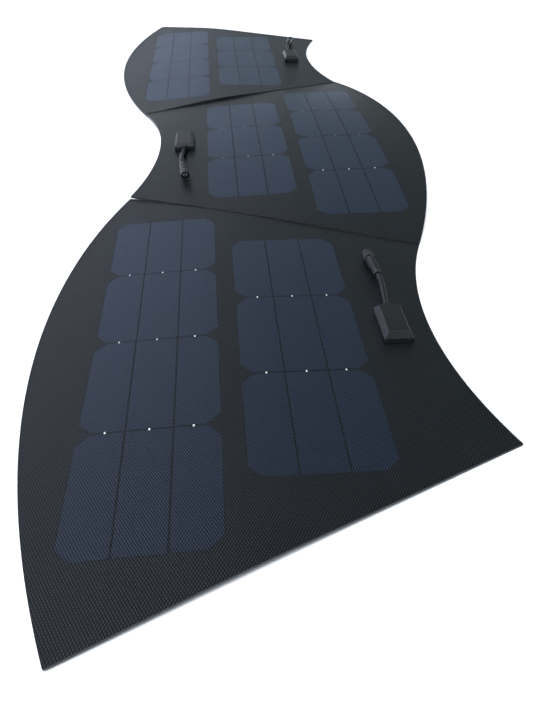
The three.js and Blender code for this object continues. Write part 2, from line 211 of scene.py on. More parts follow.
class Section:
    """One fan-shaped laminate. Its place comes from its flex joint, its heights from its CAD film. A turned
    one is rotated by half a turn. arch is its curvature along y, per millimetre."""

    def __init__(self, name, turned, arch):
        self.name = name
        self.sign = -1.0 if turned else 1.0
        self.arch = arch
        flex = Vector(JOINTS[f"{name}_flex"]["pos_m"]) / MM
        self.origin = (flex.x - self.sign * FLEX_X, flex.y)
        films = {wing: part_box(f"{name}_{wing}_front_film") for wing in WINGS}
        self.crest = films["inner"][1].z / MM - FILM_TOP
        low = {wing: films[wing][0].z / MM - CAD_FILM_BOTTOM for wing in WINGS}
        self.drop = {wing: self.crest - low[wing] for wing in WINGS}
        self.span = {
            "outer": OUTER_RADIUS - MIDDLE_RADIUS + FLEX_X,
            "inner": MIDDLE_RADIUS - INNER_RADIUS * math.cos(HALF_ANGLE) - FLEX_X,
        }

    def height(self, x, y):
        """Height of the underside, in the row frame, over plan points x, y."""
        u = x - FLEX_X
        if self.arch:
            half_facet = CELL_PITCH / 2
            arched = self.arch * (half_facet ** 2 - y ** 2) / 2
            z = arched - ARCHED_SLOPE * soft_ramp(u, ARCHED_BLEND)
        else:
            outer = self.drop["outer"] / self.span["outer"] * soft_ramp(-u, WING_BLEND)
            inner = self.drop["inner"] / self.span["inner"] * soft_ramp(u, WING_BLEND)
            z = -outer - inner
        # The shifts only make the three sections ripple differently.
        ripple_x = np.sin(x / RIPPLE_LENGTH_X + 1.3 * self.sign)
        ripple_y = np.sin(y / RIPPLE_LENGTH_Y + self.origin[1] / 90.0)
        ripple = RIPPLE_HEIGHT * ripple_x * ripple_y
        return self.crest + z + ripple * np.clip(np.abs(u) / RIPPLE_FADE, 0, 1)

    def place(self, x, y, z):
        """Row-frame coordinates, in metres, of plan points x, y at height z above the underside."""
        x, y, z = np.broadcast_arrays(np.asarray(x, float), np.asarray(y, float), np.asarray(z, float))
        world = np.stack([
            self.origin[0] + self.sign * x,
            self.origin[1] + self.sign * y,
            self.height(x, y) + z,
        ], axis=-1)
        return world * MM

    def box_frame(self):
        """Matrix of the junction box's frame, in metres: on the film, +y towards the cable."""
        low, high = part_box(f"{self.name}_box_lid")
        centre = (low + high) / 2 / MM
        x = (centre.x - self.origin[0]) * self.sign
        y = (centre.y - self.origin[1]) * self.sign
        base = Vector(self.place(x, y, FILM_TOP + CELL_RELIEF))
        step = 12.0
        along_x = Vector(self.place(x + step, y, 0.0) - self.place(x - step, y, 0.0)).normalized()
        along_y = Vector(self.place(x, y + step, 0.0) - self.place(x, y - step, 0.0)).normalized()
        up = along_x.cross(along_y).normalized()
        along_y = up.cross(along_x)
        rotation = Matrix((along_x, along_y, up)).transposed().to_4x4()
        return Matrix.Translation(base) @ rotation


SECTIONS = [
    Section("front", turned=False, arch=0.0),
    Section("middle", turned=True, arch=0.0003),
    Section("rear", turned=False, arch=0.0),
]


# ---- Plans: flat triangulated outlines ----------------------------------------------------------------

def resample(points, spacing):
    """Points along a closed outline, keeping its corners, no further apart than spacing."""
    result = []
    for a, b in zip(points, points[1:] + points[:1]):
        steps = max(1, math.ceil(math.dist(a, b) / spacing))
        result += [(a[0] + (b[0] - a[0]) * i / steps, a[1] + (b[1] - a[1]) * i / steps) for i in range(steps)]
    return result


def arc(centre, radius, start, stop, count):
    """Points along a round stretch, from one angle to the other."""
    angles = np.linspace(start, stop, count)
    return [(centre[0] + radius * math.cos(a), centre[1] + radius * math.sin(a)) for a in angles]


def round_corners(points, radius, corners):
    """The outline with each listed corner replaced by a small curve."""
    result = []
    count = len(points)
    for i, point in enumerate(points):
        if i not in corners:
            result.append(point)
            continue
        p = Vector(point)
        before = (Vector(points[i - 1]) - p).normalized() * radius
        after = (Vector(points[(i + 1) % count]) - p).normalized() * radius
        for t in np.linspace(0, 1, 5):
            q = (p + before) * (1 - t) ** 2 + p * 2 * t * (1 - t) + (p + after) * t ** 2
            result.append((q.x, q.y))
    return result


def sector_outline():
    """Outline of a section: a sector of a ring with slightly rounded corners."""
    outer_angle = HALF_ANGLE - math.asin(SEAM_SETBACK / OUTER_RADIUS)
    inner_angle = HALF_ANGLE - math.asin(SEAM_SETBACK / INNER_RADIUS)
    centre = (MIDDLE_RADIUS, 0.0)
    outer = arc(centre, OUTER_RADIUS, math.pi - outer_angle, math.pi + outer_angle, 97)
    inner = arc(centre, INNER_RADIUS, math.pi + inner_angle, math.pi - inner_angle, 61)
    outline = outer + inner
    corners = {0, len(outer) - 1, len(outer), len(outline) - 1}
    return round_corners(outline, CORNER_RADIUS, corners)


def strip_outline(index, grow):
    """One strip of a cell round the cell's centre. Side strips have the wafer's rounded corners."""
    half = CELL / 2 + grow
    radius = WAFER_RADIUS + grow
    centre = (index - 1) * STRIP_PITCH
    left = max(centre - STRIP / 2 - grow, -half)
    right = min(centre + STRIP / 2 + grow, half)
    corner = math.acos(half / radius)
    turn = math.pi / 2
    if index == 0:
        return (arc((0, 0), radius, turn + corner, 2 * turn - corner, 5)
                + arc((0, 0), radius, 2 * turn + corner, 3 * turn - corner, 5)
                + [(right, -half), (right, half)])
    if index == 2:
        return (arc((0, 0), radius, 3 * turn + corner, 4 * turn - corner, 5)
                + arc((0, 0), radius, corner, turn - corner, 5)
                + [(left, half), (left, -half)])
    return [(left, -half), (right, -half), (right, half), (left, half)]


def cell_centres(wing):
    """Centres of the cells in a wing's column."""
    first = -(wing["cells"] - 1) / 2 * CELL_PITCH
    return [(wing["column_x"], first + i * CELL_PITCH) for i in range(wing["cells"])]


def strips(grow):
    """Outlines of every strip in a section, grown by this much."""
    for wing in WINGS.values():
        for cx, cy in cell_centres(wing):
            for index in range(3):
                yield [(cx + x, cy + y) for x, y in strip_outline(index, grow)]


def inside_strips(x, y):
    """How far plan points lie inside the nearest strip of silicon, negative outside."""
    best = np.full(np.shape(x), -1e3)
    for wing in WINGS.values():
        for cx, cy in cell_centres(wing):
            for index in range(3):
                sx = x - cx - (index - 1) * STRIP_PITCH
                depth = np.minimum(STRIP / 2 - np.abs(sx), CELL / 2 - np.abs(y - cy))
                depth = np.minimum(depth, WAFER_RADIUS - np.hypot(x - cx, y - cy))
                best = np.maximum(best, depth)
    return best


def smooth_step(t):
    """Rises smoothly from 0 at t = 0 to 1 at t = 1."""
    t = np.clip(t, 0, 1)
    return t * t * (3 - 2 * t)


class Plan:
    """A flat triangulation of an outline, with a grid of points and optional inner rings."""

    def __init__(self, outline, spacing, rings=()):
        loops = [resample(outline, spacing)] + [resample(ring, spacing) for ring in rings]
        points = []
        edges = []
        for loop in loops:
            start = len(points)
            points += loop
            edges += [(start + i, start + (i + 1) % len(loop)) for i in range(len(loop))]
        boundary = np.array(loops[0])
        low = boundary.min(axis=0)
        high = boundary.max(axis=0)
        columns = np.arange(low[0] + spacing / 2, high[0], spacing)
        rows = np.arange(low[1] + spacing / 2, high[1], spacing)
        grid = [(x, y) for x in columns for y in rows]
        points += self.clear_of(grid, np.array(points), spacing * 0.55)
        face = list(range(len(loops[0])))
        result = delaunay_2d_cdt([Vector(p) for p in points], edges, [face], 1, 1e-4)
        used = sorted({i for f in result[2] for i in f})
        number = {old: new for new, old in enumerate(used)}
        self.points = np.array([(result[0][i].x, result[0][i].y) for i in used])
        self.faces = [tuple(number[i] for i in f) for f in result[2]]
        sides = {(a, b) for f in self.faces for a, b in zip(f, f[1:] + f[:1])}
        self.border = sorted((a, b) for a, b in sides if (b, a) not in sides)

    def shifted(self, x, y):
        """The same plan at another place."""
        moved = copy.copy(self)
        moved.points = self.points + np.array((x, y))
        return moved

    @staticmethod
    def clear_of(grid, taken, distance):
        """Grid points that are not crowding points already there."""
        keep = []
        buckets = {}
        for x, y in taken:
            buckets.setdefault((int(x // distance), int(y // distance)), []).append((x, y))
        for x, y in grid:
            i, j = int(x // distance), int(y // distance)
            around = [(i + a, j + b) for a in (-1, 0, 1) for b in (-1, 0, 1)]
            near = (q for bucket in around for q in buckets.get(bucket, ()))
            if all(math.dist((x, y), q) > distance for q in near):
                keep.append((x, y))
        return keep


def make_object(name, vertices, faces, sharp_angle=SHARP_ANGLE):
    """A smooth-shaded mesh object with vertices in metres. Edges over sharp_angle degrees stay sharp."""
    mesh = bpy.data.meshes.new(name)
    mesh.from_pydata([tuple(v) for v in vertices], [], faces)
    mesh.validate()
    mesh.shade_smooth()
    mesh.set_sharp_from_angle(angle=math.radians(sharp_angle))
    obj = bpy.data.objects.new(name, mesh)
    bpy.context.scene.collection.objects.link(obj)
    return obj


def sheet_solid(name, section, plan, bottom, top):
    """A closed thin solid over a plan, following the section's surface. bottom and top are heights above
    the underside, as numbers or one per plan point. The flat place of each point is kept for materials."""
    x, y = plan.points.T
    count = len(plan.points)
    vertices = np.concatenate([section.place(x, y, top), section.place(x, y, bottom)])
    faces = list(plan.faces)
    faces += [tuple(count + i for i in reversed(f)) for f in plan.faces]
    faces += [(a, count + a, count + b, b) for a, b in plan.border]
    obj = make_object(name, vertices, faces)
    flat = np.zeros((2 * count, 3), np.float32)
    flat[:count, :2] = plan.points
    flat[count:, :2] = plan.points
    obj.data.attributes.new("flat_mm", "FLOAT_VECTOR", "POINT").data.foreach_set("vector", flat.ravel())
    corners = np.zeros(len(obj.data.loops), np.int32)
    obj.data.loops.foreach_get("vertex_index", corners)
    uv = obj.data.uv_layers.new(name="flat")
    uv.uv.foreach_set("vector", (flat[corners, :2] * MM).ravel())
    return obj


# ---- Small mesh tools ---------------------------------------------------------------------------------

def apply_modifiers(obj):
    """Bakes the modifiers into the mesh."""
    depsgraph = bpy.context.evaluated_depsgraph_get()
    mesh = bpy.data.meshes.new_from_object(obj.evaluated_get(depsgraph))
    obj.modifiers.clear()
    obj.data = mesh
    mesh.shade_smooth()
    mesh.set_sharp_from_angle(angle=math.radians(SHARP_ANGLE))
    return obj


def duplicate(obj):
    """A copy of an object, with its own mesh."""
    twin = bpy.data.objects.new(obj.name, obj.data.copy())
    bpy.context.scene.collection.objects.link(twin)
    return twin


def face_outwards(obj):
    """Turns the faces of a closed mesh outwards."""
    bm = bmesh.new()
    bm.from_mesh(obj.data)
    bmesh.ops.recalc_face_normals(bm, faces=bm.faces)
    bm.to_mesh(obj.data)
    bm.free()


def merge(name, parts):
    """One object with the meshes of several, which are removed."""
    bm = bmesh.new()
    for part in parts:
        bm.from_mesh(part.data)
        mesh = part.data
        bpy.data.objects.remove(part)
        bpy.data.meshes.remove(mesh)
    mesh = bpy.data.meshes.new(name)
    bm.to_mesh(mesh)
    bm.free()
    obj = bpy.data.objects.new(name, mesh)
    bpy.context.scene.collection.objects.link(obj)
    return obj


def combine(obj, other, operation):
    """Joins or cuts obj with other, and removes other."""
    modifier = obj.modifiers.new("combine", "BOOLEAN")
    modifier.operation = operation
    modifier.object = other
    modifier.solver = "EXACT"
    apply_modifiers(obj)
    bpy.data.objects.remove(other)


def soften_edges(obj):
    """Rounds the sharp edges, and gives the rounding the second material. The faces stay flat."""
    modifier = obj.modifiers.new("bevel", "BEVEL")
    modifier.width = EDGE_ROUNDING * MM
    modifier.segments = 3
    # The second material is paler than the box: a painted highlight on the rounded edges.
    modifier.material = 1
    modifier.limit_method = "ANGLE"
    modifier.angle_limit = math.radians(28)
    apply_modifiers(obj).data.shade_flat()


def block(name, width, length, z0, z1, bevel=0.0, y_centre=0.0):
    """A box, or with bevel a frustum whose top is smaller by bevel on every side."""
    vertices = []
    for z, inset in ((z0, 0.0), (z1, bevel)):
        for sx, sy in ((-1, -1), (1, -1), (1, 1), (-1, 1)):
            x = sx * (width / 2 - inset)
            y = y_centre + sy * (length / 2 - inset)
            vertices.append((x * MM, y * MM, z * MM))
    faces = [(3, 2, 1, 0), (4, 5, 6, 7)] + [(i, (i + 1) % 4, 4 + (i + 1) % 4, 4 + i) for i in range(4)]
    return make_object(name, vertices, faces)


def revolve(name, profile, segments=48, ribs=0, rib_depth=0.0):
    """A solid of revolution about local +Y. profile holds (radius, y, ribbed) with the radius zero at both
    ends or the first point repeated at the end. Ribbed points swell and sink round the axis."""
    closed = profile[0][:2] == profile[-1][:2]
    rings = profile[:-1] if closed else profile[1:-1]
    vertices = []
    for radius, y, ribbed in rings:
        for k in range(segments):
            angle = 2 * math.pi * k / segments
            swell = rib_depth * (0.5 + 0.5 * math.cos(ribs * angle)) ** 0.5 if ribbed else 0.0
            r = radius - rib_depth * ribbed + swell
            vertices.append((r * math.cos(angle) * MM, y * MM, r * math.sin(angle) * MM))
    faces = []
    count = len(rings)
    for i in range(count if closed else count - 1):
        a, b = i * segments, ((i + 1) % count) * segments
        for k in range(segments):
            n = (k + 1) % segments
            faces.append((a + k, b + k, b + n, a + n))
    if not closed:
        for ring, centre, flip in ((0, profile[0], False), (count - 1, profile[-1], True)):
            vertices.append((0, centre[1] * MM, 0))
            tip = len(vertices) - 1
            for k in range(segments):
                n = (k + 1) % segments
                face = (tip, ring * segments + k, ring * segments + n)
                faces.append(tuple(reversed(face)) if flip else face)
    obj = make_object(name, vertices, faces, 30.0)
    face_outwards(obj)
    return obj


def rounded(points, radius, steps=4):
    """A profile of (radius, y) points with its inner corners rounded, none of them ribbed."""
    result = [points[0]]
    for before, point, after in zip(points, points[1:], points[2:]):
        p = Vector(point)
        a, b = Vector(before) - p, Vector(after) - p
        reach = min(radius, a.length * 0.45, b.length * 0.45)
        start, end = p + a.normalized() * reach, p + b.normalized() * reach
        for t in np.linspace(0, 1, steps):
            q = start * (1 - t) ** 2 + p * 2 * t * (1 - t) + end * t ** 2
            result.append((q.x, q.y))
    result.append(points[-1])
    return [(r, y, 0) for r, y in result]


def move(obj, matrix):
    """Moves the mesh itself, so that the object stays at the origin."""
    obj.data.transform(matrix)
    obj.data.update()
    return obj


# ---- Materials ----------------------------------------------------------------------------------------

class Graph:
    """The node tree of a new material, or of a world, with short calls to add and join nodes."""

    def __init__(self, name, world=None):
        self.owner = world or bpy.data.materials.new(name)
        self.owner.use_nodes = True
        self.tree = self.owner.node_tree
        self.tree.nodes.clear()
        self.output = self.add("OutputWorld" if world else "OutputMaterial")

    def add(self, kind, settings=None, **inputs):
        """A new node. Its inputs are given by name, with _ for a space, or by number, as i0, i1 and so on."""
        node = self.tree.nodes.new("ShaderNode" + kind)
        for key, value in (settings or {}).items():
            setattr(node, key, value)
        for key, value in inputs.items():
            socket = node.inputs[int(key[1:])] if key[0] == "i" and key[1:].isdigit() else None
            self.set(socket or node.inputs[key.replace("_", " ")], value)
        return node

    def set(self, socket, value):
        """Joins the socket to another one or to a node's first output, or gives it a plain value."""
        if isinstance(value, bpy.types.NodeSocket):
            self.tree.links.new(value, socket)
        elif isinstance(value, bpy.types.Node):
            self.tree.links.new(value.outputs[0], socket)
        else:
            socket.default_value = value

    def math(self, operation, a, b=0.0):
        return self.add("Math", {"operation": operation}, i0=a, i1=b)

    def mix_color(self, factor, a, b):
        node = self.add("Mix", {"data_type": "RGBA"})
        self.set(node.inputs[0], factor)
        self.set(node.inputs[6], a)
        self.set(node.inputs[7], b)
        return node.outputs[2]

    def noise(self, vector, scale, detail=2.0):
        return self.add("TexNoise", Vector=vector, Scale=scale, Detail=detail)

    def range(self, value, low, high):
        """A value from 0 to 1 spread from low to high."""
        return self.add("MapRange", i0=value, i3=low, i4=high)

    def place(self):
        """Coordinates in metres, which the pieces share because they all sit at the origin."""
        return self.add("TexCoord").outputs["Object"]

    def flat(self):
        """Coordinates in millimetres in the section's flat plan."""
        return self.add("Attribute", {"attribute_name": "flat_mm"}).outputs["Vector"]

    def finish(self, shader):
        self.tree.links.new(shader.outputs[0], self.output.inputs["Surface"])
        return self.owner


def color(r, g, b):
    return (r, g, b, 1.0)


def plastic(name, base, roughness, grain_scale, grain_height, edge_glint=0.0):
    """Moulded plastic or rubber with a fine grain, slight colour drift and, if asked, paler edges as a
    painted highlight.
    """
    g = Graph(name)
    place = g.place()
    drift = g.noise(place, 25.0, 3.0)
    grain = g.noise(place, grain_scale, 3.0)
    low = [c * 0.8 for c in base]
    high = [c * 1.25 for c in base]
    tone = g.mix_color(drift.outputs[0], color(*low), color(*high))
    if edge_glint:
        # Paler colour on sharp edges: a painted edge highlight.
        edge = g.add("MapRange", i0=g.add("NewGeometry").outputs["Pointiness"], i1=0.51, i2=0.58)
        edge_glint_share = g.math("MULTIPLY", edge.outputs[0], edge_glint)
        tone = g.mix_color(edge_glint_share.outputs[0], tone, color(*[min(1, c * 5 + 0.07) for c in base]))
    bump = g.add("Bump", Strength=0.6, Distance=grain_height * MM, Height=grain.outputs[0])
    rough = g.range(drift.outputs[0], roughness * 0.85, roughness * 1.2)
    return g.finish(g.add("BsdfPrincipled", Base_Color=tone, Roughness=rough.outputs[0], Normal=bump))


def emboss(g):
    """The film's close-packed rows of small domes, made of three crossing waves over the flat plan. Gives
    the plan's coordinates, the domes' height from 0 to 1, and the surface normal."""
    depth, cross = EMBOSS_DEPTH, 0.45
    flat = g.flat()
    x, y, _ = g.add("SeparateXYZ", Vector=flat).outputs
    wave = 2 * math.pi / EMBOSS_PERIOD
    lean, rise = wave * math.cos(math.radians(30)), wave * math.sin(math.radians(30))
    across, along = g.math("MULTIPLY", x, lean), g.math("MULTIPLY", y, rise)
    phases = [g.math("ADD", across, along), g.math("SUBTRACT", across, along), g.math("MULTIPLY", y, wave)]
    crests = [g.math("COSINE", phase) for phase in phases]
    slopes = [g.math("SINE", phase) for phase in phases]
    height = g.math("ADD", g.math("ADD", crests[0], crests[1]), g.math("MULTIPLY", crests[2], cross))
    domes = g.add("MapRange", i0=height, i1=-2.0, i2=2.0 + cross, i3=0.0, i4=1.0)
    tilt_x = g.math("MULTIPLY", g.math("ADD", slopes[0], slopes[1]), lean * depth / 2)
    tilt_y = g.math("MULTIPLY", g.math("SUBTRACT", slopes[0], slopes[1]), rise * depth / 2)
    tilt_y = g.math("ADD", tilt_y, g.math("MULTIPLY", slopes[2], wave * cross * depth / 2))
    tilt = g.add("CombineXYZ", i0=tilt_x, i1=tilt_y, i2=1.0)
    unit = g.add("VectorMath", {"operation": "NORMALIZE"}, i0=tilt)
    half = (0.5, 0.5, 0.5)
    coded = g.add("VectorMath", {"operation": "MULTIPLY_ADD"}, i0=unit, i1=half, i2=half)
    normal = g.add("NormalMap", {"uv_map": "flat"}, Strength=1.0, Color=coded)
    return flat, domes, normal


def seen_through_domes(g, tone, domes):
    """A colour under the film with painted light: bright spots under the dome crests and darker gaps between
    them, standing in for the light the domes gather.
    """
    # Painted light: the colour is scaled up under the dome crests and down between them.
    spots = g.math("POWER", domes, 1.5)
    strength = g.range(spots, 0.50, 2.0)
    return g.add("VectorMath", {"operation": "SCALE"}, i0=tone, i3=strength)


def film_gloss(g, flat, domes, normal):
    """Satin reflection of the film's domes. The film is bonded to what lies under it, so its gloss is put
    on that surface: all the light then comes from one place, which renders cleanly."""
    smudge = g.noise(flat, 0.012, 4.0)
    fresnel = g.add("Fresnel", IOR=1.42, Normal=normal)
    # The reflection is made stronger on the dome crests and weaker in the valleys: a painted highlight on the
    # crests.
    crest = g.range(domes, 0.68, 1.46)
    strength = g.math("MULTIPLY", fresnel, crest)
    rough = g.range(smudge.outputs[0], 0.28, 0.36)
    settings = {"distribution": "BECKMANN"}
    return g.add("BsdfGlossy", settings, Color=strength, Roughness=rough, Normal=normal)


def film_material():
    """Clear embossed film, a little darker in the valleys between its domes: painted shade in the valleys,
    and slight painted light on the crests.
    """
    g = Graph("embossed_film")
    _, domes, _ = emboss(g)
    return g.finish(g.add("BsdfTransparent", Color=g.range(domes, 0.90, 1.06)))


def film_edge_material():
    """The film's cut edge: dull, slightly warm and a little grimy."""
    g = Graph("film_cut_edge")
    grime = g.noise(g.place(), 60.0, 2.0)
    tone = g.mix_color(grime.outputs[0], color(0.016, 0.015, 0.014), color(0.030, 0.028, 0.026))
    return g.finish(g.add("BsdfPrincipled", Base_Color=tone, Roughness=0.5))


def board_material():
    """Black polymer board, seen through the domes of the film, with their painted light spots in its colour.
    """
    g = Graph("back_board")
    flat, domes, normal = emboss(g)
    drift = g.noise(flat, 0.02, 3.0)
    tone = g.mix_color(drift.outputs[0], color(0.0048, 0.0060, 0.0068), color(0.0080, 0.0098, 0.0110))
    # The diffuse colour carries the domes' painted light spots.
    diffuse = g.add("BsdfDiffuse", Color=seen_through_domes(g, tone, domes), Normal=normal)
    return g.finish(g.add("AddShader", i0=diffuse, i1=film_gloss(g, flat, domes, normal)))


def back_material():
    """Matt black polymer with a fabric grain, on the board's underside and cut edges."""
    g = Graph("back_coat")
    flat = g.flat()
    drift = g.noise(flat, 0.02, 3.0)
    tone = g.mix_color(drift.outputs[0], color(0.010, 0.0105, 0.011), color(0.015, 0.016, 0.017))
    weave_x = g.add("TexWave", {"bands_direction": "X"}, Vector=flat, Scale=0.5, Distortion=0.3)
    weave_y = g.add("TexWave", {"bands_direction": "Y"}, Vector=flat, Scale=0.5, Distortion=0.3)
    weave = g.math("MULTIPLY", weave_x.outputs[1], weave_y.outputs[1])
    bump = g.add("Bump", Strength=0.5, Distance=0.05 * MM, Height=weave)
    return g.finish(g.add("BsdfPrincipled", Base_Color=tone, Roughness=0.72, Normal=bump))


def silicon_material():
    """Dark blue monocrystalline silicon with faint mottling, seen through the domes of the film, with their
    painted light spots in its colour and sheen.
    """
    g = Graph("silicon")
    flat, domes, normal = emboss(g)
    cloud = g.noise(flat, 0.03, 3.0)
    speck = g.noise(flat, 1.5, 1.0)
    tone = g.mix_color(cloud.outputs[0], color(0.0062, 0.0094, 0.0165), color(0.0084, 0.0124, 0.0212))
    tone = g.mix_color(g.range(speck.outputs[0], 0.0, 0.25), tone, color(0.0112, 0.0148, 0.0245))
    # The domes' painted light spots in the cell colour.
    tone = seen_through_domes(g, tone, domes)
    grazing = g.math("POWER", g.add("LayerWeight", Blend=0.5).outputs["Facing"], 2.0)
    coating = g.mix_color(grazing, color(0, 0, 0), color(0.088, 0.122, 0.205))
    # The domes' painted light spots in the sheen colour as well.
    coating = seen_through_domes(g, coating, domes)
    sheen = g.add("BsdfGlossy", {"distribution": "BECKMANN"}, Color=coating, Roughness=0.5, Normal=normal)
    silicon = g.add("AddShader", i0=g.add("BsdfDiffuse", Color=tone, Normal=normal), i1=sheen)
    return g.finish(g.add("AddShader", i0=silicon, i1=film_gloss(g, flat, domes, normal)))


def tab_material():
    """Bright solder."""
    g = Graph("tinned_copper")
    grain = g.noise(g.place(), 900.0, 2.0)
    rough = g.range(grain.outputs[0], 0.28, 0.5)
    tone = color(0.95, 0.95, 0.92)
    return g.finish(g.add("BsdfPrincipled", Base_Color=tone, Metallic=0.25, Roughness=rough))


def tape_material():
    """Black woven ribbon: two crossed sets of yarns."""
    g = Graph("woven_tape")
    place = g.place()
    warp = g.add("TexWave", {"bands_direction": "X"}, Vector=place, Scale=320.0)
    weft = g.add("TexWave", {"bands_direction": "Y"}, Vector=place, Scale=320.0)
    yarns = g.math("MAXIMUM", warp.outputs[1], weft.outputs[1])
    tone = g.mix_color(yarns, color(0.006, 0.006, 0.007), color(0.028, 0.029, 0.031))
    bump = g.add("Bump", Strength=0.9, Distance=0.15 * MM, Height=yarns)
    return g.finish(g.add("BsdfPrincipled", Base_Color=tone, Roughness=0.85, Normal=bump))


def metal(name, base, roughness):
    """Bare metal with a fine grain."""
    g = Graph(name)
    grain = g.noise(g.place(), 700.0, 2.0)
    rough = g.range(grain.outputs[0], roughness * 0.8, roughness * 1.3)
    return g.finish(g.add("BsdfPrincipled", Base_Color=color(*base), Metallic=1.0, Roughness=rough))


MATERIALS = {
    "film": film_material(),
    "film_edge": film_edge_material(),
    "board": board_material(),
    "back": back_material(),
    "silicon": silicon_material(),
    "tabs": tab_material(),
    "tape": tape_material(),
    "box": plastic("box_plastic", (0.0088, 0.0100, 0.0098), 0.24, 900.0, 0.003),
    # Paler colour for the box's rounded edges: a painted highlight.
    "box_edge": plastic("box_worn_edge", (0.024, 0.026, 0.026), 0.22, 900.0, 0.003),
    "circuit": plastic("circuit_board", (0.02, 0.10, 0.04), 0.4, 600.0, 0.02),
    "cable": plastic("cable_sheath", (0.007, 0.007, 0.008), 0.20, 500.0, 0.006),
    # The connector's paler edges are a painted highlight.
    "connector": plastic("connector_plastic", (0.0055, 0.0058, 0.0064), 0.18, 700.0, 0.006, edge_glint=0.45),
    "insert": plastic("insert_plastic", (0.035, 0.037, 0.042), 0.5, 700.0, 0.02),
    "pins": metal("tinned_contacts", (0.72, 0.70, 0.66), 0.3),
}


def dress(obj, *names):
    """Gives the object these materials, in this order."""
    obj.data.materials.clear()
    for name in names:
        obj.data.materials.append(MATERIALS[name])


# ---- Laminate -----------------------------------------------------------------------------------------

def flex_ends(section):
    """Where the bend between the two wings starts and ends: from the flex axis to the outer column."""
    reach = (COLUMN_PITCH - CELL) / 2
    return section.place(FLEX_X, 0, 0), section.place(FLEX_X - reach, 0, 0)


def across_wings(piece, section, *nodes):
    """Bakes the sheet in place and hides the CAD parts it stands for. The ends of the bend are found but not
    used.
    """
    start, end = flex_ends(section)
    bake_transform(piece)
    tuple(start)
    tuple(end)
    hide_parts(*nodes)


def laminate(section, plans):
    """The board with pockets for the cells, the strings of cells, and the film over them."""
    name = section.name
    points = plans["film"].points
    relief = CELL_RELIEF * smooth_step((inside_strips(points[:, 0], points[:, 1]) + 0.6) / 1.2)
    film = sheet_solid(f"{name}_embossed_film", section, plans["film"], FILM_BOTTOM, FILM_TOP + relief)
    dress(film, "film", "film_edge")
    first_side = 2 * len(plans["film"].faces)
    for polygon in film.data.polygons[first_side:]:
        polygon.material_index = 1
    across_wings(film, section, f"{name}_inner_front_film", f"{name}_outer_front_film")

    points = plans["board"].points
    pocket = (BOARD_TOP - POCKET_FLOOR) * (inside_strips(points[:, 0], points[:, 1]) > -0.25)
    board = sheet_solid(f"{name}_back_sheet", section, plans["board"], 0.0, BOARD_TOP - pocket)
    dress(board, "board", "back")
    for polygon in board.data.polygons[len(plans["board"].faces):]:
        polygon.material_index = 1
    across_wings(board, section, f"{name}_inner_back_board", f"{name}_outer_back_board")

    for wing_name, wing in WINGS.items():
        for index in range(3):
            string(section, wing_name, wing, index, plans["strips"][index])
        contact_tabs(section, wing_name, wing)


def string(section, wing_name, wing, index, plan):
    """The strips of silicon one after another down a column, as one piece."""
    parts = [sheet_solid("strip", section, plan.shifted(x, y), STRING_BOTTOM, STRING_TOP)
             for x, y in cell_centres(wing)]
    piece = merge(f"{section.name}_{wing_name}_silicon_{index + 1}", parts)
    dress(piece, "silicon")
    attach(piece, f"{section.name}_{wing_name}_wing")
    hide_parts(f"{section.name}_{wing_name}_cell_string_{index + 1}")


def contact_tabs(section, wing_name, wing):
    """The bright soldered pads that show between one cell and the next: three to a gap."""
    vertices, faces = [], []
    centres = cell_centres(wing)
    for (cx, y0), (_, y1) in zip(centres, centres[1:]):
        for index in range(3):
            x, y = cx + (index - 1) * TAB_PITCH, (y0 + y1) / 2
            solder_dome(section, x, y, vertices, faces)
    piece = make_object(f"{section.name}_{wing_name}_contact_tabs", vertices, faces)
    dress(piece, "tabs")
    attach(piece, f"{section.name}_{wing_name}_wing")


def solder_dome(section, x, y, vertices, faces, around=16):
    """Adds a low closed button that stands on the board between two cells."""
    rings = [(TAB_RADIUS, STRING_BOTTOM), (TAB_RADIUS, STRING_TOP), (TAB_RADIUS * 0.6, FILM_BOTTOM - 0.06)]
    start = len(vertices)
    vertices.append(section.place(x, y, STRING_BOTTOM))
    for radius, z in rings:
        for k in range(around):
            a = 2 * math.pi * k / around
            vertices.append(section.place(x + radius * math.cos(a), y + radius * math.sin(a), z))
    vertices.append(section.place(x, y, FILM_BOTTOM - 0.04))
    top = len(vertices) - 1
    for k in range(around):
        n = (k + 1) % around
        faces.append((start, start + 1 + n, start + 1 + k))
        for level in range(2):
            a = start + 1 + level * around
            faces.append((a + k, a + n, a + around + n, a + around + k))
        last = start + 1 + 2 * around
        faces.append((last + k, last + n, top))


# ---- Junction box and lead ----------------------------------------------------------------------------

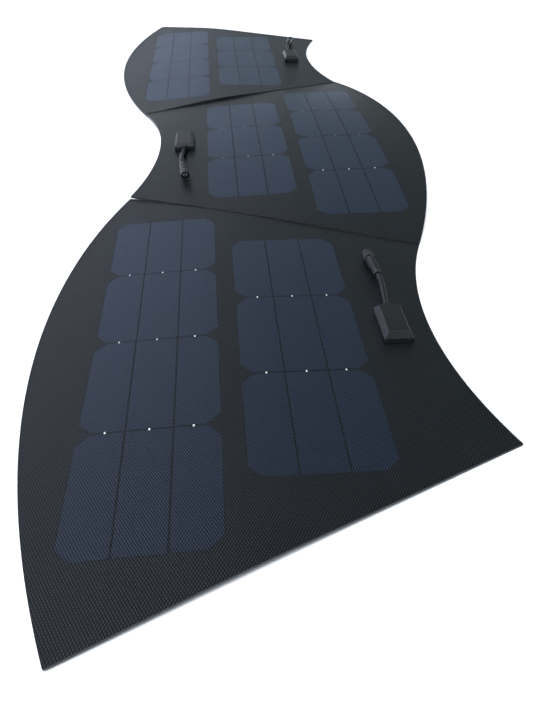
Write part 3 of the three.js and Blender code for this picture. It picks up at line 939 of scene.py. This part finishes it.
def junction_box(section):
    """The box's tub, with a gland for the cable, and its cover. Both are open inside."""
    name = section.name
    place = section.box_frame()
    radius = CABLE_RADIUS + 0.1
    start, stop = BOX_LENGTH / 2 - 7.5, BOX_LENGTH / 2 + 12.5
    hole = revolve("hole", [(0, start, 0), (radius, start, 0), (radius, stop, 0), (0, stop, 0)])
    move(hole, Matrix.Translation((0, 0, CABLE_HEIGHT * MM)))
    inner_width, inner_length = BOX_WIDTH - 2 * BOX_WALL, BOX_LENGTH - 2 * BOX_WALL

    tub = block(f"{name}_box_tub", BOX_WIDTH, BOX_LENGTH, 0, BOX_WALL_HEIGHT)
    gland_y = (BOX_LENGTH + GLAND_LENGTH) / 2 - 0.5
    gland = block("gland", GLAND_WIDTH, GLAND_LENGTH + 1, 0, GLAND_HEIGHT, y_centre=gland_y)
    combine(gland, block("lid_room", BOX_WIDTH, BOX_LENGTH + 0.6, BOX_WALL_HEIGHT, 12), "DIFFERENCE")
    combine(tub, gland, "UNION")
    combine(tub, block("cavity", inner_width, inner_length, BOX_FLOOR, 12), "DIFFERENCE")
    combine(tub, duplicate(hole), "DIFFERENCE")
    finish_box_part(tub, section, place, f"{name}_box_base")

    parting = BOX_WALL_HEIGHT + PARTING_GAP
    cover = block(f"{name}_box_cover", BOX_WIDTH, BOX_LENGTH, parting, BOX_HEIGHT, LID_BEVEL)
    ceiling = BOX_HEIGHT - BOX_WALL
    inside = block("inside", inner_width, inner_length, BOX_WALL_HEIGHT, ceiling, LID_BEVEL)
    combine(cover, inside, "DIFFERENCE")
    combine(cover, hole, "DIFFERENCE")
    finish_box_part(cover, section, place, f"{name}_box_lid")


def finish_box_part(piece, section, place, node):
    """Softens a part of the box, puts it in place, and lets it stand for its CAD node."""
    dress(piece, "box", "box_edge")
    soften_edges(piece)
    move(piece, place)
    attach(piece, f"{section.name}_inner_wing")
    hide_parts(node)


def bezier(a, b, c, d, t):
    """Point at t on a cubic curve."""
    return a * (1 - t) ** 3 + b * 3 * t * (1 - t) ** 2 + c * 3 * t * t * (1 - t) + d * t ** 3


def plug_frame(section):
    """Matrix of the plug's frame, in metres: +y along the coupling nut's axis, from the cable's end."""
    joint = JOINTS[f"{section.name}_nut_spin"]
    forward = Vector(joint["axis"]).normalized()
    side = forward.cross(Vector((0, 0, 1))).normalized()
    rotation = Matrix((side, forward, side.cross(forward))).transposed().to_4x4()
    return Matrix.Translation(Vector(joint["pos_m"]) - forward * NUT_START * MM) @ rotation


def lead_curve(section):
    """The cable's curve from the junction box to the plug, in millimetres in the row frame."""
    box = section.box_frame()
    plug = plug_frame(section)
    end = plug.translation / MM
    start = (box @ (Vector((0, BOX_LENGTH / 2 - CABLE_INSET, CABLE_HEIGHT)) * MM)) / MM
    handle = (end - start).length / 3
    return start, start + box.col[1].xyz * handle, end - plug.col[1].xyz * handle, end


def cable(section):
    """A round cable along the lead's curve, closed at both ends."""
    curve = lead_curve(section)
    stations, around = 40, 24
    vertices = []
    for i in range(stations + 1):
        t = i / stations
        centre = bezier(*curve, t)
        ahead = (bezier(*curve, min(1, t + 0.01)) - bezier(*curve, max(0, t - 0.01))).normalized()
        side = ahead.cross(Vector((0, 0, 1))).normalized()
        up = side.cross(ahead)
        for k in range(around):
            a = 2 * math.pi * k / around
            vertices.append((centre + (side * math.cos(a) + up * math.sin(a)) * CABLE_RADIUS) * MM)
    faces = []
    for i in range(stations):
        a, b = i * around, (i + 1) * around
        faces += [(a + k, a + (k + 1) % around, b + (k + 1) % around, b + k) for k in range(around)]
    faces += [tuple(reversed(range(around))), tuple(range(stations * around, (stations + 1) * around))]
    piece = make_object(f"{section.name}_cable", vertices, faces)
    dress(piece, "cable")
    anchor = Vector(JOINTS[f"{section.name}_lead_swing"]["pos_m"])
    ahead = (curve[3] - curve[0]).normalized()
    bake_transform(piece)
    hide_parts(f"{section.name}_cable_root", f"{section.name}_cable_tip")


def plug_body(name):
    """The shell: a collar, a rib, a long grip, a neck for the nut, and an open socket."""
    shell = [
        (0, 0.2), (COLLAR_RADIUS - 1, 0.2), (COLLAR_RADIUS, 0.8), (COLLAR_RADIUS, 4.6),
        (WAIST_RADIUS, 5.2), (WAIST_RADIUS, 6.8), (RIB_RADIUS, 7.4), (RIB_RADIUS, 9.0),
        (WAIST_RADIUS, 9.6), (WAIST_RADIUS, 11.2), (RIB_RADIUS, 11.8), (GRIP_RADIUS, 17),
        (GRIP_RADIUS, 34.4), (GRIP_RADIUS - 0.6, 35.6), (NECK_RADIUS, 35.8), (NECK_RADIUS, 40.2),
        (SOCKET_RADIUS, 40.2), (SOCKET_RADIUS, 45.6), (SOCKET_BORE, 45.6), (SOCKET_BORE, 41.4), (0, 41.4),
    ]
    return revolve(f"{name}_plug_body", rounded(shell, 0.45), 48)


def coupling_nut(name):
    """The ring: ribs round its rear part, a smooth lip, a wide bore and a narrow hole for the neck."""
    back, front = NUT_START, NUT_START + 12
    ring = [
        (NUT_HOLE, back, 0), (NUT_RADIUS - 0.9, back, 0), (NUT_RADIUS - 0.4, back + 0.2, 0),
        (NUT_RADIUS, back + 0.8, 1), (NUT_RADIUS, back + 8.8, 1), (NUT_RADIUS - 0.1, back + 9.4, 0),
        (NUT_RADIUS, back + 10.4, 0), (NUT_RADIUS - 0.1, back + 11.5, 0), (NUT_RADIUS - 0.5, front, 0),
        (NUT_BORE + 0.2, front, 0), (NUT_BORE, front - 0.3, 0), (NUT_BORE, back + 2, 0),
        (NUT_HOLE, back + 2, 0), (NUT_HOLE, back, 0),
    ]
    return revolve(f"{name}_threaded_nut", ring, 8 * NUT_RIBS, ribs=NUT_RIBS, rib_depth=NUT_RIB_DEPTH)


def socket_insert(name):
    """The disc that carries the contacts, with a raised middle."""
    disc = [(0, 41.6), (INSERT_RADIUS, 41.6), (INSERT_RADIUS, 46.4), (1.2, 46.4), (1.0, 47.0), (0, 47.0)]
    return revolve(f"{name}_socket_insert", rounded(disc, 0.25), 40)


def contact_pins(name):
    """Two round pins that stand on the insert."""
    pins = []
    for x in (-PIN_OFFSET, PIN_OFFSET):
        profile = [(0, 45.8), (PIN_RADIUS, 45.8), (PIN_RADIUS, 48.2), (0, 48.6)]
        pin = revolve("pin", rounded(profile, 0.3), 16)
        pins.append(move(pin, Matrix.Translation((x * MM, 0, 0))))
    return merge(f"{name}_contact_pins", pins)


def connector(section):
    """The plug at the end of the lead."""
    name = section.name
    place = plug_frame(section)
    pieces = [
        (plug_body(name), "connector", "plug", f"{name}_connector_body", "connector_plastic"),
        (coupling_nut(name), "connector", "coupling_nut", f"{name}_coupling_nut", "connector_plastic"),
        (socket_insert(name), "insert", "plug", f"{name}_contact_insert", "insert_plastic"),
        (contact_pins(name), "pins", "plug", None, "insert_plastic"),
    ]
    for piece, material, body_name, node, slot in pieces:
        move(piece, place)
        dress(piece, material)
        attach(piece, f"{name}_{body_name}")
        if node:
            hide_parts(node)


# ---- Seam tape ----------------------------------------------------------------------------------------

SEAM_REACH = 2 * MIDDLE_RADIUS * (1 - math.cos(HALF_ANGLE))


def under_seam(own, other, end, x, distance):
    """A point of the tape's top, in metres: at plan x along the seam, this far from it under own. It keeps
    below own, and near the seam below the other section too, which may lie lower there. end is the side of
    both plans that the seam is on, 1 for +y and -1 for -y."""
    slant = math.tan(HALF_ANGLE)
    y = end * ((MIDDLE_RADIUS - x) * slant - distance / math.cos(HALF_ANGLE))
    other_x = SEAM_REACH - x
    other_y = end * (MIDDLE_RADIUS - other_x) * slant
    rise = TAPE_RISE * max(0.0, distance - TAPE_RISE_START)
    limit = float(other.height(other_x, other_y)) + rise
    point = own.place(x, y, 0.0)
    point[2] = (min(float(own.height(x, y)), limit) - TAPE_GAP) * MM
    return point


def seam_tape(neighbour, middle, end):
    """Woven ribbon glued under both sections along the stretch where their inner wings meet. end is the side
    of both plans that the seam is on, because the middle section is turned."""
    name = neighbour.name
    start = (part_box(f"{name}_seam_tape_{name}_half")[0].x / MM - neighbour.origin[0]) * neighbour.sign
    along = np.linspace(start, SEAM_REACH - start, 45)
    across = np.geomspace(0.4, TAPE_WIDTH, 16)
    top = []
    for x in along:
        top += [under_seam(neighbour, middle, end, x, d) for d in across[::-1]]
        top.append(under_seam(neighbour, middle, end, x, 0.0))
        top += [under_seam(middle, neighbour, end, SEAM_REACH - x, d) for d in across]
    top = np.array(top)
    rows, columns = len(along), 2 * len(across) + 1
    count = rows * columns
    faces = []
    for i in range(rows - 1):
        for j in range(columns - 1):
            a = i * columns + j
            quad = (a, a + columns, a + columns + 1, a + 1)
            faces.append(quad)
            faces.append(tuple(count + v for v in reversed(quad)))
    rim = list(range(columns))
    rim += [i * columns + columns - 1 for i in range(1, rows)]
    rim += [(rows - 1) * columns + j for j in range(columns - 2, -1, -1)]
    rim += [i * columns for i in range(rows - 2, 0, -1)]
    faces += [(a, b, count + b, count + a) for a, b in zip(rim, rim[1:] + rim[:1])]
    bottom = top - np.array((0, 0, TAPE_THICKNESS * MM))
    piece = make_object(f"{name}_seam_tape", np.concatenate([top, bottom]), faces)
    face_outwards(piece)
    dress(piece, "tape")
    joint = JOINTS[f"{name}_seam_fold"]
    anchor = Vector(joint["pos_m"])
    away = Vector((*neighbour.origin, 0)) - Vector((*middle.origin, 0))
    axis = Vector(joint["axis"])
    away = (away - axis * away.dot(axis)).normalized()
    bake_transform(piece)
    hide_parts(f"{name}_seam_tape_{name}_half", f"{name}_seam_tape_middle_half")


# ---- Build --------------------------------------------------------------------------------------------

# The film rises over the cells between its two rings, and the board drops into a pocket between its own.
FILM_RINGS = (-0.6, 0.6)
BOARD_RINGS = (0.15, 0.35)
PLANS = {
    "film": Plan(sector_outline(), 7.0, [ring for grow in FILM_RINGS for ring in strips(grow)]),
    "board": Plan(sector_outline(), 9.0, [ring for grow in BOARD_RINGS for ring in strips(grow)]),
    "strips": [Plan(strip_outline(index, 0.0), 10.0) for index in range(3)],
}

for section in SECTIONS:
    laminate(section, PLANS)
    junction_box(section)
    cable(section)
    connector(section)
    dress(frame["nodes"][f"{section.name}_terminal_board"], "circuit")
FRONT, MIDDLE, REAR = SECTIONS
seam_tape(FRONT, MIDDLE, 1)
seam_tape(REAR, MIDDLE, -1)


# ---- Floor, light and camera --------------------------------------------------------------------------

def floor_contact(location, parent=None):
    """An empty that the floor stays at or below."""
    empty = bpy.data.objects.new("floor_contact", None)
    empty.location = location
    empty.parent = parent
    bpy.context.scene.collection.objects.link(empty)
    return empty


def floor_contacts():
    """Empties just under the CAD box and under the arcs of every wing. The latter move with the wings."""
    yield floor_contact((0, 0, CAD_BOUNDS[0].z - FLOOR_GAP * MM))
    for section in SECTIONS:
        for wing, radius in (("outer", OUTER_RADIUS), ("inner", INNER_RADIUS)):
            body = frame["bodies"][f"{section.name}_{wing}_wing"]
            for angle in (-HALF_ANGLE, 0, HALF_ANGLE):
                x, y = MIDDLE_RADIUS - radius * math.cos(angle), radius * math.sin(angle)
                yield floor_contact(section.place(x, y, -FLOOR_GAP), body)


def floor():
    """A pale floor just under the sheet, FLOOR_SIZE metres wide. It drops with its lowest contact when a
    section folds down."""
    half = FLOOR_SIZE / 2
    corners = [(-half, -half, 0), (half, -half, 0), (half, half, 0), (-half, half, 0)]
    obj = make_object("floor", corners, [(0, 1, 2, 3)])
    driver = obj.driver_add("location", 2).driver
    driver.type = "MIN"
    for contact in floor_contacts():
        variable = driver.variables.new()
        variable.type = "TRANSFORMS"
        variable.targets[0].id = contact
        variable.targets[0].transform_type = "LOC_Z"
        variable.targets[0].transform_space = "WORLD_SPACE"
    g = Graph("pale_floor")
    drift = g.noise(g.place(), 3.0, 2.0)
    tone = g.mix_color(drift.outputs[0], color(0.86, 0.86, 0.86), color(0.89, 0.89, 0.89))
    obj.data.materials.append(g.finish(g.add("BsdfPrincipled", Base_Color=tone, Roughness=0.9)))
    obj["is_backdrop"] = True


def overhead_light():
    """A broad soft light from far overhead, so that the whole floor is lit alike. It leaves no glints."""
    light = bpy.data.lights.new("overhead", "SUN")
    light.energy = 3.0
    light.angle = math.radians(24)
    obj = bpy.data.objects.new("overhead", light)
    direction = Vector((0.20, 0.30, -1.0))
    obj.rotation_euler = direction.to_track_quat("-Z", "Y").to_euler()
    obj.visible_glossy = False
    bpy.context.scene.collection.objects.link(obj)


def surroundings():
    """Soft studio surroundings: a pale wall to the left with a bright foot, dim to the right, and brighter
    behind the camera."""
    g = Graph("studio", world=bpy.data.worlds.new("studio"))
    x, y, z = g.add("SeparateXYZ", Vector=g.add("TexCoord").outputs["Generated"]).outputs
    level = g.math("SQRT", g.math("ADD", g.math("MULTIPLY", x, x), g.math("MULTIPLY", y, y)))
    smooth = {"interpolation_type": "SMOOTHSTEP"}
    left = g.add("MapRange", smooth, i0=g.math("DIVIDE", x, level), i1=0.24, i2=-0.40, i3=0.0, i4=1.0)
    foot = g.add("MapRange", smooth, i0=z, i1=0.0, i2=0.07, i3=1.5, i4=0.0)
    height = g.add("MapRange", smooth, i0=z, i1=0.14, i2=0.50, i3=0.20, i4=0.68)
    wall = g.math("MULTIPLY", left, g.math("ADD", foot, height))
    behind = g.add("MapRange", smooth, i0=y, i1=-0.45, i2=0.0, i3=2.2, i4=1.0)
    strength = g.math("MULTIPLY", g.math("ADD", wall, 0.20), behind)
    tint = g.mix_color(left.outputs[0], color(0.86, 1.0, 1.06), color(0.90, 0.97, 1.18))
    bpy.context.scene.world = g.finish(g.add("Background", Color=tint, Strength=strength))


def camera():
    """The camera stands before the front section and above it, and looks along the sheet and down."""
    yaw, pitch, roll = CAMERA_TURNS
    ahead = math.cos(pitch)
    forward = Vector((math.sin(yaw) * ahead, math.cos(yaw) * ahead, -math.sin(pitch)))
    level = Vector((math.cos(yaw), -math.sin(yaw), 0))
    upright = level.cross(forward)
    right = level * math.cos(roll) + upright * math.sin(roll)
    up = upright * math.cos(roll) - level * math.sin(roll)
    data = bpy.data.cameras.new("camera")
    data.sensor_width = 36.0
    data.lens = CAMERA_LENS
    data.clip_start, data.clip_end = 0.01, 50
    obj = bpy.data.objects.new("camera", data)
    rotation = Matrix((right, up, -forward)).transposed().to_4x4()
    film_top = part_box("front_inner_front_film")[1].z / MM
    stand = Vector((*FRONT.origin, film_top)) + Vector(CAMERA_STAND)
    obj.matrix_world = Matrix.Translation(stand * MM) @ rotation
    bpy.context.scene.collection.objects.link(obj)
    bpy.context.scene.camera = obj


floor()
surroundings()
overhead_light()
camera()
bpy.context.scene.view_settings.view_transform = "Standard"

SIZES = {"cad": CAD_BOUNDS, "visual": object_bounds()}
{name: [list(corner) for corner in box] for name, box in SIZES.items()}
